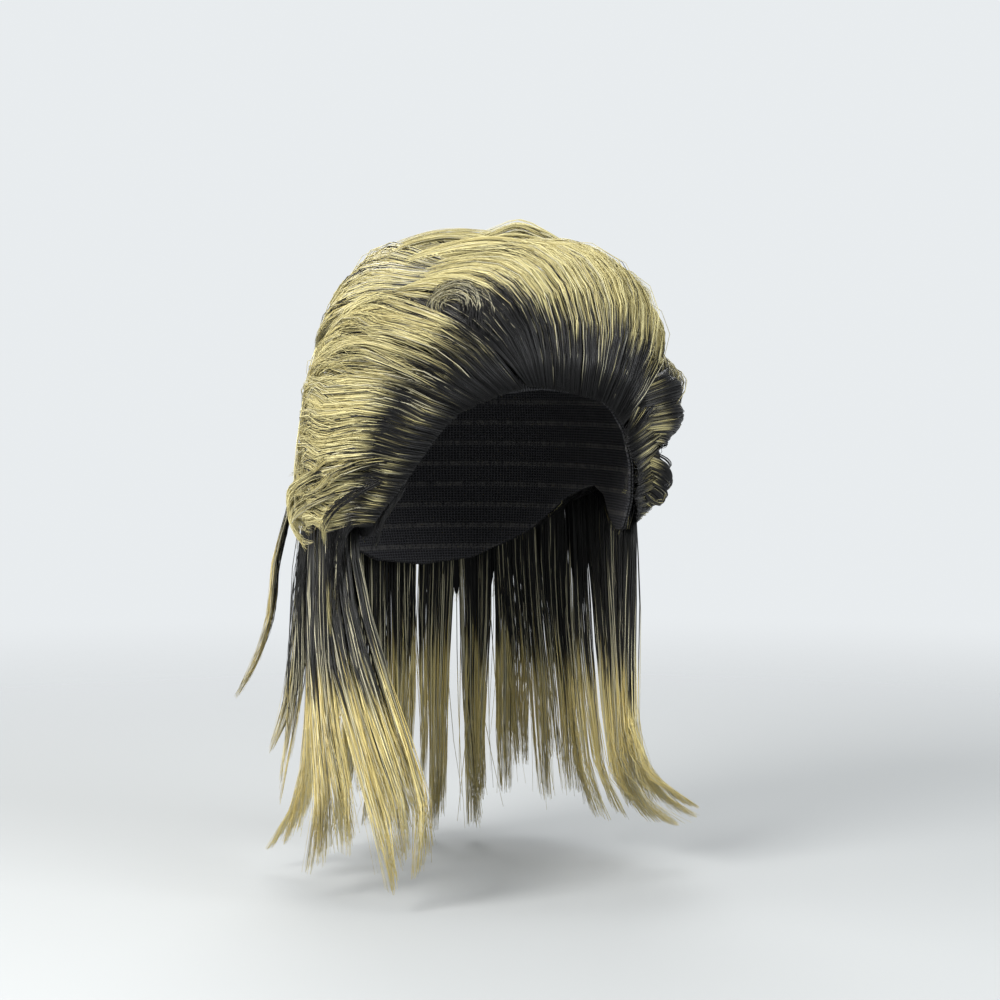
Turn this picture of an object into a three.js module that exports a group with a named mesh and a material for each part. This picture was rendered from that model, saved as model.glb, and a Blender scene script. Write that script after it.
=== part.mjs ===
// A mullet wig on its cap: a side-swept quiff, feathered sides, a full crown and long lengths at the nape.
// Millimetres, +Z up. The face looks along -Y and the wearer's left is +X.
// The origin is inside the crown of the cap, where the top of the head sits.
import * as THREE from 'three';

const { degToRad, lerp, clamp, smoothstep } = THREE.MathUtils;

// Driving dimensions
const HEAD = { halfWidth: 78, halfLength: 98, crownToBrow: 100, squareness: 2.3, lowest: -0.9 };
const CAP = { wall: 1.5, stepsRound: 44, stepsDown: 6 };
const BAND = { tall: 8, thick: 0.9, clearance: 0.3 };
const LOCK = { rootLift: 3.6, gapShare: 0.05, sides: 8, corner: 0.62, tuckedSpring: 3, step: 0.02 };

// A table: the names of its columns, then a row of numbers for each parting or station.
function rows(columns, ...values) {
  return values.map((row) => Object.fromEntries(columns.map((name, i) => [name, row[i]])));
}

// The cap's edge from the forehead over the ear to the nape, the same on both sides.
const EDGE = rows(['around', 'height'],
  [0, -62], [25, -66], [38, -78], [46, -95], [56, -117], [68, -140],
  [82, -132], [94, -114], [112, -120], [132, -142], [156, -156], [180, -160]);

// How a lock's width and thickness run from root (0) to tip (1), as shares of its widest and thickest.
const TAPER = rows(['at', 'wide', 'thick'],
  [0, 0.96, 0.4], [0.3, 1, 0.9], [0.6, 1, 1], [0.85, 0.92, 0.75], [1, 0.5, 0.3]);
const HANGING_TAPER = rows(['at', 'wide', 'thick'],
  [0, 0.96, 0.55], [0.3, 1, 1], [0.6, 1, 0.95], [0.85, 0.8, 0.7], [1, 0.22, 0.28]);

// Partings of the brushed hair, from the wearer's left to right. Angles go round the head from the
// face, positive to the wearer's left; heights are from the crown; bow swings a lock sideways as a
// share of the head; belly, crest and tipLift say how high and how far along it stands off the head,
// wave is the depth of the dip behind the crest, and the tip rolls on radius curl through turn degrees.
const BRUSHED = ['rootAround', 'rootHeight', 'tipAround', 'tipHeight', 'bow',
  'belly', 'crest', 'wave', 'tipLift', 'thick', 'curl', 'turn'];
const LEFT_WING = rows(BRUSHED,
  [66, -131, 100, -126, 0.00, 12, 0.50, 0, 12, 8, 10, 150],
  [59, -118, 104, -109, 0.04, 25, 0.52, 0, 17, 12, 11, 160],
  [51, -102, 107, -88, 0.05, 15, 0.50, 0, 13, 10, 11, 150],
  [44, -87, 111, -60, 0.05, 33, 0.50, 0, 20, 14, 13, 130],
  [40, -79, 114, -40, 0.04, 17, 0.50, 0, 15, 11, 13, 60]);
const QUIFF = rows(BRUSHED,
  [38, -76, 117, -28, 0.00, 26, 0.50, 1, 18, 13, 12, 0],
  [34, -71, 114, -14, -0.02, 29, 0.53, 1, 18, 15, 12, 0],
  [28, -66, 104, -5, -0.05, 27, 0.56, 0, 20, 15, 12, 0],
  [19, -62, -40, -1.5, -0.16, 22, 0.56, 0, 15, 14, 12, 0],
  [8, -59, -52, -9, -0.18, 18, 0.54, 0, 14, 13, 12, 0],
  [-2, -58, -58, -20, -0.14, 16, 0.52, 0, 13, 12, 12, 0],
  [-10, -58, -82, -28, 0.00, 16, 0.50, 1, 14.5, 11, 12, 0]);
const RIGHT_SWEEP = rows(BRUSHED,
  [-12, -58, -111, -44, -0.06, 19, 0.45, 2, 14, 12, 14, 0],
  [-24, -64, -113, -60, -0.04, 23, 0.42, 2, 13, 13, 14, 0],
  [-37, -75, -112, -79, -0.05, 26, 0.40, 2, 13, 13, 14, 0],
  [-46, -92, -109, -99, -0.06, 25, 0.40, 2, 13, 12, 14, 20],
  [-56, -114, -101, -117, -0.05, 21, 0.45, 1, 13, 11, 9, 120],
  [-66, -132, -94, -131, 0.00, 16, 0.50, 0, 14, 9, 9, 140]);
const CROWN = rows(BRUSHED,
  [98, -44, 132, -86, 0.00, 14, 0.78, 0, 15, 8, 14, 0],
  [94, -26, 150, -76, 0.00, 19, 0.70, 0, 19, 11, 14, 0],
  [80, -9, 170, -68, 0.00, 29, 0.62, 1, 20, 13, 14, 0],
  [-20, -3, 194, -62, 0.00, 28, 0.57, 1, 20, 13, 14, 0],
  [-46, -9, 214, -58, 0.04, 21, 0.58, 1, 19, 12, 14, 0],
  [-54, -18, 227, -54, 0.05, 16, 0.58, 1, 16, 10, 14, 0],
  [-60, -27, 236, -52, 0.02, 17, 0.62, 0, 17, 9, 14, 0]);
const BACK = rows(BRUSHED,
  [104, -68, 110, -102, 0.00, 5.8, 0.80, 0, 6, 4, 24, 0],
  [122, -62, 126, -142, 0.00, 17, 0.60, 0, 18, 7, 24, 15],
  [141, -52, 143, -160, 0.00, 20, 0.65, 0, 21, 9, 24, 25],
  [165, -40, 165, -167, 0.00, 21, 0.70, 0, 21, 9, 24, 30],
  [195, -40, 195, -167, 0.00, 21, 0.70, 0, 21, 9, 24, 30],
  [219, -48, 217, -160, 0.00, 20, 0.65, 0, 21, 9, 24, 25],
  [238, -58, 234, -142, 0.00, 17, 0.60, 0, 18, 7, 24, 15],
  [252, -62, 247, -102, 0.00, 5.8, 0.80, 0, 6, 4, 24, 0]);

// Partings of the lengths that hang from the nape, from the left cheek round the back to the right.
// The waist is where a lock comes in to the neck, as a share of its length.
const HANGING = ['rootAround', 'rootHeight', 'rootLift', 'tipAround', 'tipHeight',
  'waist', 'waistLift', 'tipLift', 'thick', 'curl', 'turn'];
const NAPE = rows(HANGING,
  [73, -126, 6, 71, -248, 0.78, 4, 5, 9, 48, 82],
  [96, -118, 6, 88, -266, 0.74, 6, 8, 10, 50, 74],
  [128, -112, 6, 124, -284, 0.50, 7, 12, 10, 60, 35],
  [152, -110, 6, 152, -300, 0.50, 7, 12, 10, 60, 25],
  [180, -109, 6, 180, -306, 0.50, 7, 12, 10, 60, 20],
  [208, -110, 6, 208, -300, 0.50, 7, 12, 10, 60, 25],
  [232, -112, 6, 240, -284, 0.50, 7, 14, 10, 60, 35],
  [264, -118, 6, 276, -284, 0.55, 7, 12, 10, 60, 30],
  [287, -126, 6, 312, -290, 0.55, 5, 2, 9, 60, 30]);
const STRAY = rows(HANGING,
  [239, -122, 19, 241, -232, 0.40, 29, 50, 4, 60, 4],
  [242, -122, 19, 243, -232, 0.40, 29, 50, 4, 60, 4]);

// Each sheet of hair is cut into count locks; ruffle is how far every other lock stands proud.
const HAIR_SHEETS = [
  { name: 'wing_left', count: 4, partings: LEFT_WING, path: brushedPoint, sections: 10, ruffle: 1 },
  { name: 'quiff', count: 9, partings: QUIFF, path: brushedPoint, sections: 10, ruffle: 1 },
  { name: 'sweep_right', count: 8, partings: RIGHT_SWEEP, path: brushedPoint, sections: 11, ruffle: 1.5 },
  { name: 'crown', count: 9, partings: CROWN, path: tuckedPoint, sections: 9, ruffle: 2 },
  { name: 'back', count: 8, partings: BACK, path: tuckedPoint, sections: 9, ruffle: 1 },
  { name: 'nape', count: 18, partings: NAPE, path: hangingPoint, sections: 10, ruffle: 1 },
  { name: 'stray', count: 1, partings: STRAY, path: hangingPoint, sections: 8, ruffle: 0 },
];

const NET = { color: 0x17161a, roughness: 0.9, metalness: 0 };
const ELASTIC = { color: 0x0f0f11, roughness: 0.8, metalness: 0 };
const HAIR = { color: 0xb3a468, roughness: 0.45, metalness: 0 };

// A column of a table at a place between its rows, on a smooth curve through them.
function between(table, column, place) {
  const last = table.length - 1;
  const i = clamp(Math.floor(place), 0, last - 1);
  const [a, b, c, d] = [i - 1, i, i + 1, i + 2].map((k) => table[clamp(k, 0, last)][column]);
  const x = place - i;
  return b + 0.5 * x * (c - a + x * (2 * a - 5 * b + 4 * c - d + x * (3 * (b - c) + d - a)));
}

// A column of a table by the value of its first column, on straight lines.
function lookUp(table, key, column, value) {
  const i = clamp(table.findIndex((row) => row[key] >= value), 1, table.length - 1);
  const [low, high] = [table[i - 1], table[i]];
  return lerp(low[column], high[column], clamp((value - low[key]) / (high[key] - low[key]), 0, 1));
}

function parting(table, place) {
  return Object.fromEntries(Object.keys(table[0]).map((name) => [name, between(table, name, place)]));
}

// The way from the middle of the head to a place on it.
function headWay(around, height) {
  const up = clamp(1 + height / HEAD.crownToBrow, HEAD.lowest, 1);
  const flat = Math.sqrt(1 - up * up);
  const angle = degToRad(around);
  return new THREE.Vector3(flat * Math.sin(angle), -flat * Math.cos(angle), up);
}

// The point at a lift over the head, which is a rounded box between an egg and a block.
function overHead(way, lift) {
  const power = HEAD.squareness;
  const sizes = [HEAD.halfWidth, HEAD.halfLength, HEAD.crownToBrow];
  const shares = way.toArray();
  const reach = shares.reduce((sum, share) => sum + Math.abs(share) ** power, 0) ** (-1 / power);
  const steepness = (share) => Math.sign(share) * Math.abs(share * reach) ** (power - 1);
  const normal = new THREE.Vector3(...shares.map((share, i) => steepness(share) / sizes[i]));
  const point = new THREE.Vector3(...shares.map((share, i) => share * reach * sizes[i]));
  point.z -= HEAD.crownToBrow;
  return point.addScaledVector(normal.normalize(), lift);
}

// The same for hair, which falls straight below the head's widest line.
function hairPoint(way, lift, height = HEAD.crownToBrow * (way.z - 1)) {
  if (way.z >= 0) return overHead(way, lift);
  const point = overHead(way.setZ(0).normalize(), lift);
  point.z = height;
  return point;
}

// The middle of a brushed lock: the shortest way over the head from root to tip, bowed and lifted.
function brushedPoint(row, t, spring = 1) {
  const root = headWay(row.rootAround, row.rootHeight);
  const tip = headWay(row.tipAround, row.tipHeight);
  const angle = root.angleTo(tip);
  const sideways = new THREE.Vector3().crossVectors(root, tip).normalize();
  const way = root.multiplyScalar(Math.sin((1 - t) * angle) / Math.sin(angle));
  way.addScaledVector(tip, Math.sin(t * angle) / Math.sin(angle));
  way.addScaledVector(sideways, row.bow * Math.sin(Math.PI * t)).normalize();
  const rootLift = LOCK.rootLift + TAPER[0].thick * row.thick / 2;
  if (t < row.crest) {
    const rise = Math.sin((t / row.crest) * Math.PI / 2) ** spring;
    return hairPoint(way, lerp(rootLift, row.belly, rise));
  }
  const fall = (t - row.crest) / (1 - row.crest);
  const dip = row.wave * Math.sin(Math.PI * fall);
  return hairPoint(way, lerp(row.belly, row.tipLift, smoothstep(fall, 0, 1)) - dip);
}

// The same for a layer whose roots lie flat under the tips of the layer in front.
function tuckedPoint(row, t) {
  return brushedPoint(row, t, LOCK.tuckedSpring);
}

// The middle of a hanging lock: straight down from the head's widest line, in at the neck, out at the tip.
function hangingPoint(row, t) {
  const around = lerp(row.rootAround, row.tipAround, smoothstep(t, 0, 1));
  const height = lerp(row.rootHeight, row.tipHeight, t);
  const lift = t < row.waist
    ? lerp(row.rootLift, row.waistLift, smoothstep(t, 0, row.waist))
    : lerp(row.waistLift, row.tipLift, ((t - row.waist) / (1 - row.waist)) ** 2);
  return hairPoint(headWay(around, height), lift, height);
}

// A lock's middle with its tip rolled outwards on an arc of radius curl, through turn degrees.
function rolledPoint(path, row, t) {
  const turn = degToRad(row.turn);
  const end = path(row, 1);
  const ahead = end.clone().sub(path(row, 1 - LOCK.step)).normalize();
  const overBrow = path === hangingPoint ? 0 : end.z + HEAD.crownToBrow;
  const outward = new THREE.Vector3(end.x, end.y, overBrow);
  outward.addScaledVector(ahead, -outward.dot(ahead)).normalize();
  let straight = 0;
  for (let from = 0; from < 1; from += LOCK.step) {
    straight += path(row, from).distanceTo(path(row, from + LOCK.step));
  }
  const share = straight / (straight + row.curl * turn);
  if (t <= share) return path(row, t / share);
  const swing = turn * (t - share) / (1 - share);
  return end.addScaledVector(ahead, row.curl * Math.sin(swing))
    .addScaledVector(outward, row.curl * (1 - Math.cos(swing)));
}

// A place in a sheet of hair: across it in partings, along it from root to tip, and out from its middle.
function sheetPoint(sheet, across, t, out) {
  const at = (s, v) => rolledPoint(sheet.path, parting(sheet.partings, s), v);
  const { step } = LOCK;
  const [before, after] = [Math.max(t - step, 0), Math.min(t + step, 1)];
  const along = at(across, after).sub(at(across, before));
  const aside = at(across + step, t).sub(at(across - step, t));
  return at(across, t).addScaledVector(along.cross(aside).normalize(), out);
}

// A closed solid through rings of points, with a pole at each end.
function loft(rings) {
  const sides = rings[0].length;
  const middle = (ring) => ring.reduce((sum, p) => sum.add(p), new THREE.Vector3()).divideScalar(sides);
  const points = [...rings.flat(), middle(rings[0]), middle(rings.at(-1))];
  const [rootPole, tipPole] = [points.length - 2, points.length - 1];
  const faces = [];
  for (let k = 0; k < sides; k++) {
    const next = (k + 1) % sides;
    faces.push([rootPole, next, k]);
    for (let r = 0; r + 1 < rings.length; r++) {
      const [a, b] = [r * sides, (r + 1) * sides];
      faces.push([a + k, a + next, b + k], [a + next, b + next, b + k]);
    }
    const last = (rings.length - 1) * sides;
    faces.push([tipPole, last + k, last + next]);
  }
  return solid(points, faces);
}

function solid(points, faces) {
  const geometry = new THREE.BufferGeometry();
  const positions = points.flatMap((p) => p.toArray());
  geometry.setAttribute('position', new THREE.Float32BufferAttribute(positions, 3));
  geometry.setIndex(faces.flat());
  geometry.computeVertexNormals();
  return geometry;
}

// One lock of a sheet: rings with rounded corners between two partings.
function lockGeometry(sheet, index) {
  const taper = sheet.path === hangingPoint ? HANGING_TAPER : TAPER;
  const proud = sheet.ruffle * (index % 2);
  const width = (sheet.partings.length - 1) / sheet.count;
  const rings = [];
  for (let r = 0; r < sheet.sections; r++) {
    const t = r / (sheet.sections - 1);
    const wide = lookUp(taper, 'at', 'wide', t) * (1 - LOCK.gapShare);
    const ring = [];
    for (let k = 0; k < LOCK.sides; k++) {
      const angle = (2 * Math.PI * (k + 0.5)) / LOCK.sides;
      const rounded = (x) => Math.sign(x) * Math.abs(x) ** LOCK.corner;
      const across = (index + 0.5 + 0.5 * wide * rounded(Math.cos(angle))) * width;
      const thick = parting(sheet.partings, across).thick * lookUp(taper, 'at', 'thick', t);
      const out = 0.5 * thick * rounded(Math.sin(angle)) + proud * Math.sin(Math.PI * t);
      ring.push(sheetPoint(sheet, across, t, out));
    }
    rings.push(ring);
  }
  return loft(rings);
}

function edgeHeight(around) {
  return lookUp(EDGE, 'around', 'height', Math.abs(((around + 540) % 360) - 180));
}

// The cap: one wall from the crown down to its edge.
function capGeometry() {
  const { stepsRound, stepsDown, wall } = CAP;
  const points = [0, wall].map((lift) => overHead(headWay(0, 0), lift));
  for (const lift of [0, wall]) {
    for (let d = 1; d <= stepsDown; d++) {
      for (let k = 0; k < stepsRound; k++) {
        const around = (360 * k) / stepsRound;
        const lowest = Math.acos(1 + edgeHeight(around) / HEAD.crownToBrow);
        const height = HEAD.crownToBrow * (Math.cos((lowest * d) / stepsDown) - 1);
        points.push(overHead(headWay(around, height), lift));
      }
    }
  }
  const at = (side, d, k) => 2 + (side * stepsDown + d - 1) * stepsRound + (k % stepsRound);
  const faces = [];
  for (let k = 0; k < stepsRound; k++) {
    faces.push([0, at(0, 1, k + 1), at(0, 1, k)], [1, at(1, 1, k), at(1, 1, k + 1)]);
    for (let d = 1; d < stepsDown; d++) {
      faces.push([at(0, d, k), at(0, d, k + 1), at(0, d + 1, k)]);
      faces.push([at(0, d, k + 1), at(0, d + 1, k + 1), at(0, d + 1, k)]);
      faces.push([at(1, d, k), at(1, d + 1, k), at(1, d, k + 1)]);
      faces.push([at(1, d, k + 1), at(1, d + 1, k), at(1, d + 1, k + 1)]);
    }
    const [inner, outer] = [0, 1].map((side) => [at(side, stepsDown, k), at(side, stepsDown, k + 1)]);
    faces.push([inner[0], inner[1], outer[0]], [inner[1], outer[1], outer[0]]);
  }
  return solid(points, faces);
}

// The edge band: a tape round the outside of the cap's edge.
function bandGeometry() {
  const steps = CAP.stepsRound;
  const inside = CAP.wall + BAND.clearance;
  const outside = inside + BAND.thick;
  const corners = [[0, inside], [0, outside], [BAND.tall, outside], [BAND.tall, inside]];
  const points = [];
  for (let k = 0; k < steps; k++) {
    const around = (360 * k) / steps;
    for (const [rise, lift] of corners) {
      points.push(overHead(headWay(around, edgeHeight(around) + rise), lift));
    }
  }
  const faces = [];
  for (let k = 0; k < steps; k++) {
    for (let c = 0; c < corners.length; c++) {
      const [a, b] = [k, (k + 1) % steps].map((s) => s * corners.length);
      const next = (c + 1) % corners.length;
      faces.push([a + c, b + c, a + next], [a + next, b + c, b + next]);
    }
  }
  return solid(points, faces);
}

const wig = new THREE.Group();

function addPiece(name, geometry, finish) {
  const mesh = new THREE.Mesh(geometry, new THREE.MeshStandardMaterial(finish));
  mesh.name = name;
  wig.add(mesh);
}

addPiece('cap', capGeometry(), NET);
addPiece('edge_band', bandGeometry(), ELASTIC);
for (const sheet of HAIR_SHEETS) {
  for (let i = 0; i < sheet.count; i++) {
    addPiece(`${sheet.name}_${i + 1}`, lockGeometry(sheet, i), HAIR);
  }
}

export default wig;
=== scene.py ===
import bpy
import math
import numpy as np
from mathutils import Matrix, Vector


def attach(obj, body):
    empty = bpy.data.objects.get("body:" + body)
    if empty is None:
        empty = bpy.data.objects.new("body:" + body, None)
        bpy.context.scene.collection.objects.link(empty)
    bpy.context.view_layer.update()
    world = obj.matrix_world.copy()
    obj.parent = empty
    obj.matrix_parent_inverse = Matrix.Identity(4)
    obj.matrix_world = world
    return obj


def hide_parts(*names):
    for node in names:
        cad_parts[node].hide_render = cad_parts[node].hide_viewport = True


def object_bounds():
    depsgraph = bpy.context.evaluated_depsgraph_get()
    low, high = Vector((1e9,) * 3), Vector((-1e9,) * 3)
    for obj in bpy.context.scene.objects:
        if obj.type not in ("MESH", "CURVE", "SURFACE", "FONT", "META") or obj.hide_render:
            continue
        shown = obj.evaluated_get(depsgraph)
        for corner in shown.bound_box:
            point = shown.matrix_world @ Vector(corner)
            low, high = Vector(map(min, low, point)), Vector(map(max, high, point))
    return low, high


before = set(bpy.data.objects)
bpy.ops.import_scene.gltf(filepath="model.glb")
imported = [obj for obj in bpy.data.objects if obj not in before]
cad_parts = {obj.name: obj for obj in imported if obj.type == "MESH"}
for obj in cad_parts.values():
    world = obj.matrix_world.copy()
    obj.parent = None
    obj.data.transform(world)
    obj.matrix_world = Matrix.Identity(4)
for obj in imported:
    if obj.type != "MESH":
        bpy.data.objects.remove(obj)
cadLow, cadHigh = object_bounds()
bpy.ops.object.select_all(action="DESELECT")
scene = bpy.context.scene
mm = 0.001
print("frame loaded:", len(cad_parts), "nodes")


# shader helpers
def newMaterial(name):
    material = bpy.data.materials.new(name)
    material.use_nodes = True
    tree = material.node_tree
    return material, tree, tree.nodes["Principled BSDF"]


def setOrLink(tree, socket, value):
    if isinstance(value, bpy.types.NodeSocket):
        tree.links.new(value, socket)
    else:
        socket.default_value = (*value, 1) if isinstance(value, tuple) else value


def mathNode(tree, operation, *values):
    node = tree.nodes.new("ShaderNodeMath")
    node.operation = operation
    for socket, value in zip(node.inputs, values):
        setOrLink(tree, socket, value)
    return node.outputs[0]


def rangeNode(tree, value, low, high, toLow=0.0, toHigh=1.0):
    node = tree.nodes.new("ShaderNodeMapRange")
    node.interpolation_type = "SMOOTHSTEP"
    labels = ("Value", "From Min", "From Max", "To Min", "To Max")
    for label, number in zip(labels, (value, low, high, toLow, toHigh)):
        setOrLink(tree, node.inputs[label], number)
    return node.outputs["Result"]


def mixColour(tree, factor, first, second, kind="MIX"):
    node = tree.nodes.new("ShaderNodeMix")
    node.data_type = "RGBA"
    node.blend_type = kind
    for index, value in ((0, factor), (6, first), (7, second)):    # its factor and colour sockets
        setOrLink(tree, node.inputs[index], value)
    return node.outputs[2]


def noiseNode(tree, vector, scale, detail):
    node = tree.nodes.new("ShaderNodeTexNoise")
    node.inputs["Scale"].default_value = scale
    node.inputs["Detail"].default_value = detail
    tree.links.new(vector, node.inputs["Vector"])
    return node.outputs["Fac"]


def stretched(tree, vector, scale):
    node = tree.nodes.new("ShaderNodeMapping")
    node.inputs["Scale"].default_value = scale
    tree.links.new(vector, node.inputs["Vector"])
    return node.outputs["Vector"]


# camera, light and floor
studio = {
    "azimuth": -22.0, "elevation": 3.0,      # the side the photograph looks from
    "aimRight": 13.75 * mm, "aimUp": -122 * mm,
    "frameWidth": 0.55, "lens": 85.0, "sensor": 36.0,
    "backdrop": (0.81, 0.84, 0.86), "ambient": 0.55,
    "floorDrop": 6 * mm, "floorRadius": 1.6, "floorFade": (0.35, 1.52),    # clear from the second radius on
    "floorColour": (0.34, 0.352, 0.357), "floorRoughness": 0.85,
}


def aroundView(azimuth, elevation, distance, aim):
    a = math.radians(azimuth)
    e = math.radians(elevation)
    back = Vector((math.sin(a) * math.cos(e), -math.cos(a) * math.cos(e), math.sin(e)))
    return aim + back * distance, (-back).to_track_quat("-Z", "Y").to_euler()


def addCamera():
    a = math.radians(studio["azimuth"])
    aim = Vector((math.cos(a), math.sin(a), 0)) * studio["aimRight"] + Vector((0, 0, studio["aimUp"]))
    distance = studio["frameWidth"] * studio["lens"] / studio["sensor"]
    place, turn = aroundView(studio["azimuth"], studio["elevation"], distance, aim)
    bpy.ops.object.camera_add(location=place, rotation=turn)
    camera = bpy.context.object
    camera.data.lens = studio["lens"]
    camera.data.sensor_width = studio["sensor"]
    scene.camera = camera


softboxes = [
    # name, azimuth, elevation, distance, size, watts, colour
    ("keyLight", -64, 28, 1.5, 0.8, 37, (1.0, 0.985, 0.96)),
    ("fillLight", 30, 22, 1.6, 1.1, 24, (0.97, 0.985, 1.0)),
    ("topLight", -10, 78, 1.3, 0.9, 5, (1.0, 0.99, 0.97)),
    ("rimLight", 165, 35, 1.6, 0.9, 14, (1.0, 1.0, 1.0)),
    ("sideLight", -108, 14, 1.6, 0.9, 13, (1.0, 0.99, 0.97)),
]


def addLights():
    aim = Vector((0, 0, studio["aimUp"]))
    for name, azimuth, elevation, distance, size, watts, colour in softboxes:
        place, turn = aroundView(azimuth, elevation, distance, aim)
        bpy.ops.object.light_add(type="AREA", location=place, rotation=turn)
        light = bpy.context.object
        light.name = name
        light.data.shape = "DISK"
        light.data.size = size
        light.data.energy = watts
        light.data.color = colour
    world = bpy.data.worlds.new("paleStudio")
    scene.world = world
    world.use_nodes = True
    nodes, links = world.node_tree.nodes, world.node_tree.links
    ambient = nodes["Background"]
    backdrop = nodes.new("ShaderNodeBackground")
    for sky, strength in ((ambient, studio["ambient"]), (backdrop, 1.0)):
        sky.inputs["Color"].default_value = (*studio["backdrop"], 1)
        sky.inputs["Strength"].default_value = strength
    seen = nodes.new("ShaderNodeLightPath")
    both = nodes.new("ShaderNodeMixShader")
    links.new(seen.outputs["Is Camera Ray"], both.inputs["Fac"])
    links.new(ambient.outputs["Background"], both.inputs[1])
    links.new(backdrop.outputs["Background"], both.inputs[2])
    links.new(both.outputs["Shader"], nodes["World Output"].inputs["Surface"])
    scene.view_settings.view_transform = "Standard"


def addFloor():
    bpy.ops.mesh.primitive_circle_add(vertices=96, radius=studio["floorRadius"], fill_type="NGON",
                                      location=(0, 0, cadLow.z - studio["floorDrop"]))
    floor = bpy.context.object
    floor.name = "studioFloor"
    bpy.ops.object.transform_apply(location=True)
    material, tree, shader = newMaterial("paleFloor")
    shader.inputs["Base Color"].default_value = (*studio["floorColour"], 1)
    shader.inputs["Roughness"].default_value = studio["floorRoughness"]
    place = tree.nodes.new("ShaderNodeTexCoord")
    length = tree.nodes.new("ShaderNodeVectorMath")
    length.operation = "LENGTH"
    tree.links.new(place.outputs["Object"], length.inputs[0])
    fade = rangeNode(tree, length.outputs["Value"], *studio["floorFade"], 1.0, 0.0)
    tree.links.new(fade, shader.inputs["Alpha"])
    floor.data.materials.append(material)


addCamera()
addLights()
addFloor()
print("studio set")


# how the strands are dyed, and the dark painted shade on the lock cores under them
shortLook = {"gloss": 0.3, "dye": {
    "Dark End": 0.42, "Blond Start": 0.64, "Streak": 0.16, "Contrast": 0.7, "Root": (0.009, 0.009, 0.0095),
    "Blond": (0.38, 0.325, 0.135), "Pale": (0.66, 0.605, 0.32), "Ash": (0.52, 0.49, 0.34)}}
lengthLook = {"gloss": 0.3, "dye": {
    **shortLook["dye"], "Root": (0.015, 0.0155, 0.015),
    "Blond": (0.54, 0.43, 0.15), "Pale": (0.80, 0.70, 0.34)}}
# painted shade: the lock cores, seen in the gaps between strands, get far darker colours and little gloss,
# standing in for the shade there
paintedShadeLook = {"gloss": 0.05, "dye": {
    "Dark End": 0.46, "Blond Start": 0.80, "Streak": 0.20, "Contrast": 0.9, "Root": (0.006, 0.006, 0.0065),
    "Blond": (0.11, 0.09, 0.035), "Pale": (0.18, 0.15, 0.065), "Ash": (0.10, 0.09, 0.06)}}


# U of a strand's map is its own tone and V is its place in the dye, 0.5 where the dark ends
def makeDyeGroup():
    group = bpy.data.node_groups.new("dyedStrand", "ShaderNodeTree")
    for label, value in shortLook["dye"].items():
        kind = "NodeSocketColor" if isinstance(value, tuple) else "NodeSocketFloat"
        group.interface.new_socket(label, in_out="INPUT", socket_type=kind)
    group.interface.new_socket("Color", in_out="OUTPUT", socket_type="NodeSocketColor")
    group.interface.new_socket("Roughness", in_out="OUTPUT", socket_type="NodeSocketFloat")
    given = group.nodes.new("NodeGroupInput").outputs
    made = group.nodes.new("NodeGroupOutput").inputs
    place = group.nodes.new("ShaderNodeUVMap")
    place.uv_map = "OFBake"
    uv = place.outputs["UV"]
    split = group.nodes.new("ShaderNodeSeparateXYZ")
    group.links.new(uv, split.inputs[0])
    tone = noiseNode(group, stretched(group, uv, (70, 0.6, 1)), 1.0, 3)
    fine = noiseNode(group, stretched(group, uv, (190, 2.5, 1)), 1.0, 1)
    bands = noiseNode(group, stretched(group, uv, (16, 7, 1)), 1.0, 2)
    shift = mathNode(group, "MULTIPLY", mathNode(group, "SUBTRACT", tone, 0.5), given["Streak"])
    dyePlace = mathNode(group, "ADD", split.outputs["Y"], shift)
    dyed = rangeNode(group, dyePlace, given["Dark End"], given["Blond Start"])
    paleness = rangeNode(group, tone, 0.38, 0.66)
    blond = mixColour(group, paleness, given["Blond"], given["Pale"])
    ashy = rangeNode(group, split.outputs["X"], 0.885, 0.905)    # tones of the pale strands
    blond = mixColour(group, ashy, blond, given["Ash"])
    colour = mixColour(group, dyed, given["Root"], blond)
    dip = mathNode(group, "MULTIPLY", mathNode(group, "SUBTRACT", 0.62, fine), given["Contrast"])
    shade = mathNode(group, "SUBTRACT", 1.0, dip)
    shade = mathNode(group, "MULTIPLY", shade, rangeNode(group, bands, 0.3, 0.7, 0.86, 1.06))
    grey = group.nodes.new("ShaderNodeCombineXYZ")
    for socket in grey.inputs:
        group.links.new(shade, socket)
    group.links.new(mixColour(group, 1.0, colour, grey.outputs[0], "MULTIPLY"), made["Color"])
    group.links.new(rangeNode(group, fine, 0.3, 0.7, 0.3, 0.46), made["Roughness"])
    return group


dyeGroup = makeDyeGroup()


def makeHair(name, look):
    material, tree, shader = newMaterial(name)
    strand = tree.nodes.new("ShaderNodeGroup")
    strand.node_tree = dyeGroup
    for label, value in look["dye"].items():
        setOrLink(tree, strand.inputs[label], value)
    tree.links.new(strand.outputs["Color"], shader.inputs["Base Color"])
    tree.links.new(strand.outputs["Roughness"], shader.inputs["Roughness"])
    shader.inputs["Specular IOR Level"].default_value = look["gloss"]
    return material


shortHair = makeHair("shortHair", shortLook)
lengthHair = makeHair("lengthHair", lengthLook)
paintedShadeHair = makeHair("paintedShadeHair", paintedShadeLook)
print("hair dyed")


# the locks' forms, read from the CAD solids
headMiddle = np.array([0, 0, -100 * mm])
edgeShare = 0.85    # thickness left at the edge between two locks
ringTurn, ringCorner = math.radians(67.5), 0.62    # a ring's first point, and how square the ring is
ringShare = (math.sin(ringTurn) ** ringCorner, math.cos(ringTurn) ** ringCorner)


def solidPoints(node):
    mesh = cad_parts[node].data
    corners = np.empty(len(mesh.vertices) * 3)
    mesh.vertices.foreach_get("co", corners)
    order = np.empty(len(mesh.loops), int)
    mesh.loops.foreach_get("vertex_index", order)
    points, same = np.unique(np.round(corners.reshape(-1, 3), 6), axis=0, return_inverse=True)
    return points, same.ravel()[order].reshape(-1, 3)


capPoints = solidPoints("cap")[0]


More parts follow.
